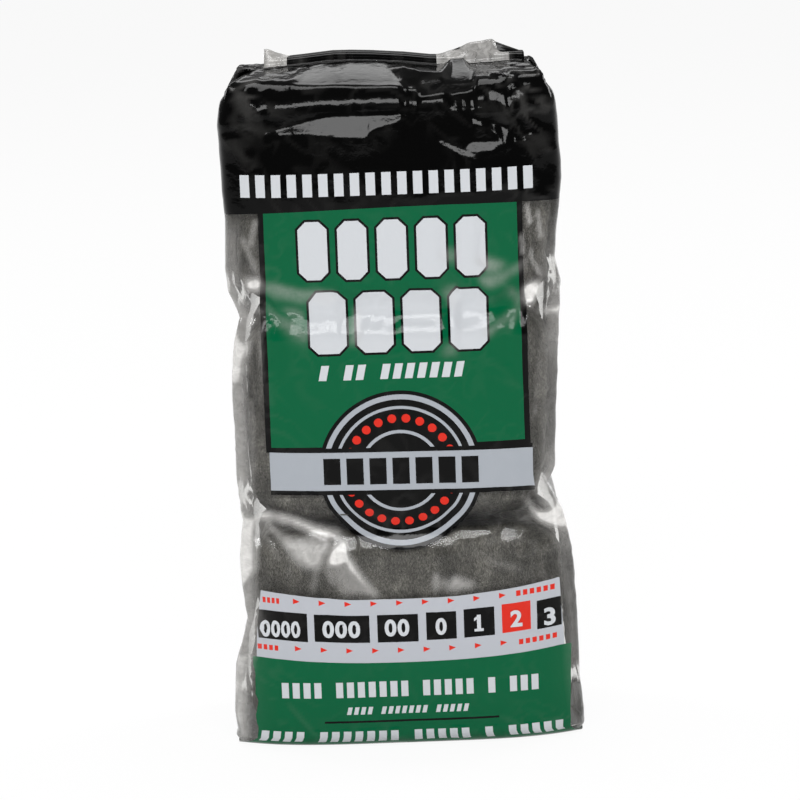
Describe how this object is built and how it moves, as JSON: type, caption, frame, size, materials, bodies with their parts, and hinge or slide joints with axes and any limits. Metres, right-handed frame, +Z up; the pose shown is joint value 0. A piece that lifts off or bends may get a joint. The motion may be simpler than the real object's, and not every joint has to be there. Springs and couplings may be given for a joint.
{
  "type": "bagged steel wool pads",
  "caption": "Upright see-through film pack of folded steel wool pads in tiers, with side gussets, tucked ends and a seal bent over its roof.",
  "frame": {"origin": "middle of the base the pack stands on", "axes": "+Z up along the pack's height, -Y out of its printed front, +X to the right of someone facing that front"},
  "size_m": [0.115, 0.0772, 0.2335],
  "materials": {
    "printed_film": "clear glossy film with printed areas",
    "steel_wool": "dull matted fine wire"
  },
  "bodies": {
    "root": {"film_bag": "printed_film", "pad_bottom_1": "steel_wool", "pad_bottom_2": "steel_wool", "pad_bottom_3": "steel_wool", "pad_bottom_4": "steel_wool", "pad_middle_1": "steel_wool", "pad_middle_2": "steel_wool", "pad_middle_3": "steel_wool", "pad_middle_4": "steel_wool", "pad_top_1": "steel_wool", "pad_top_2": "steel_wool", "pad_top_3": "steel_wool", "pad_top_4": "steel_wool"}
  },
  "joints": []
}
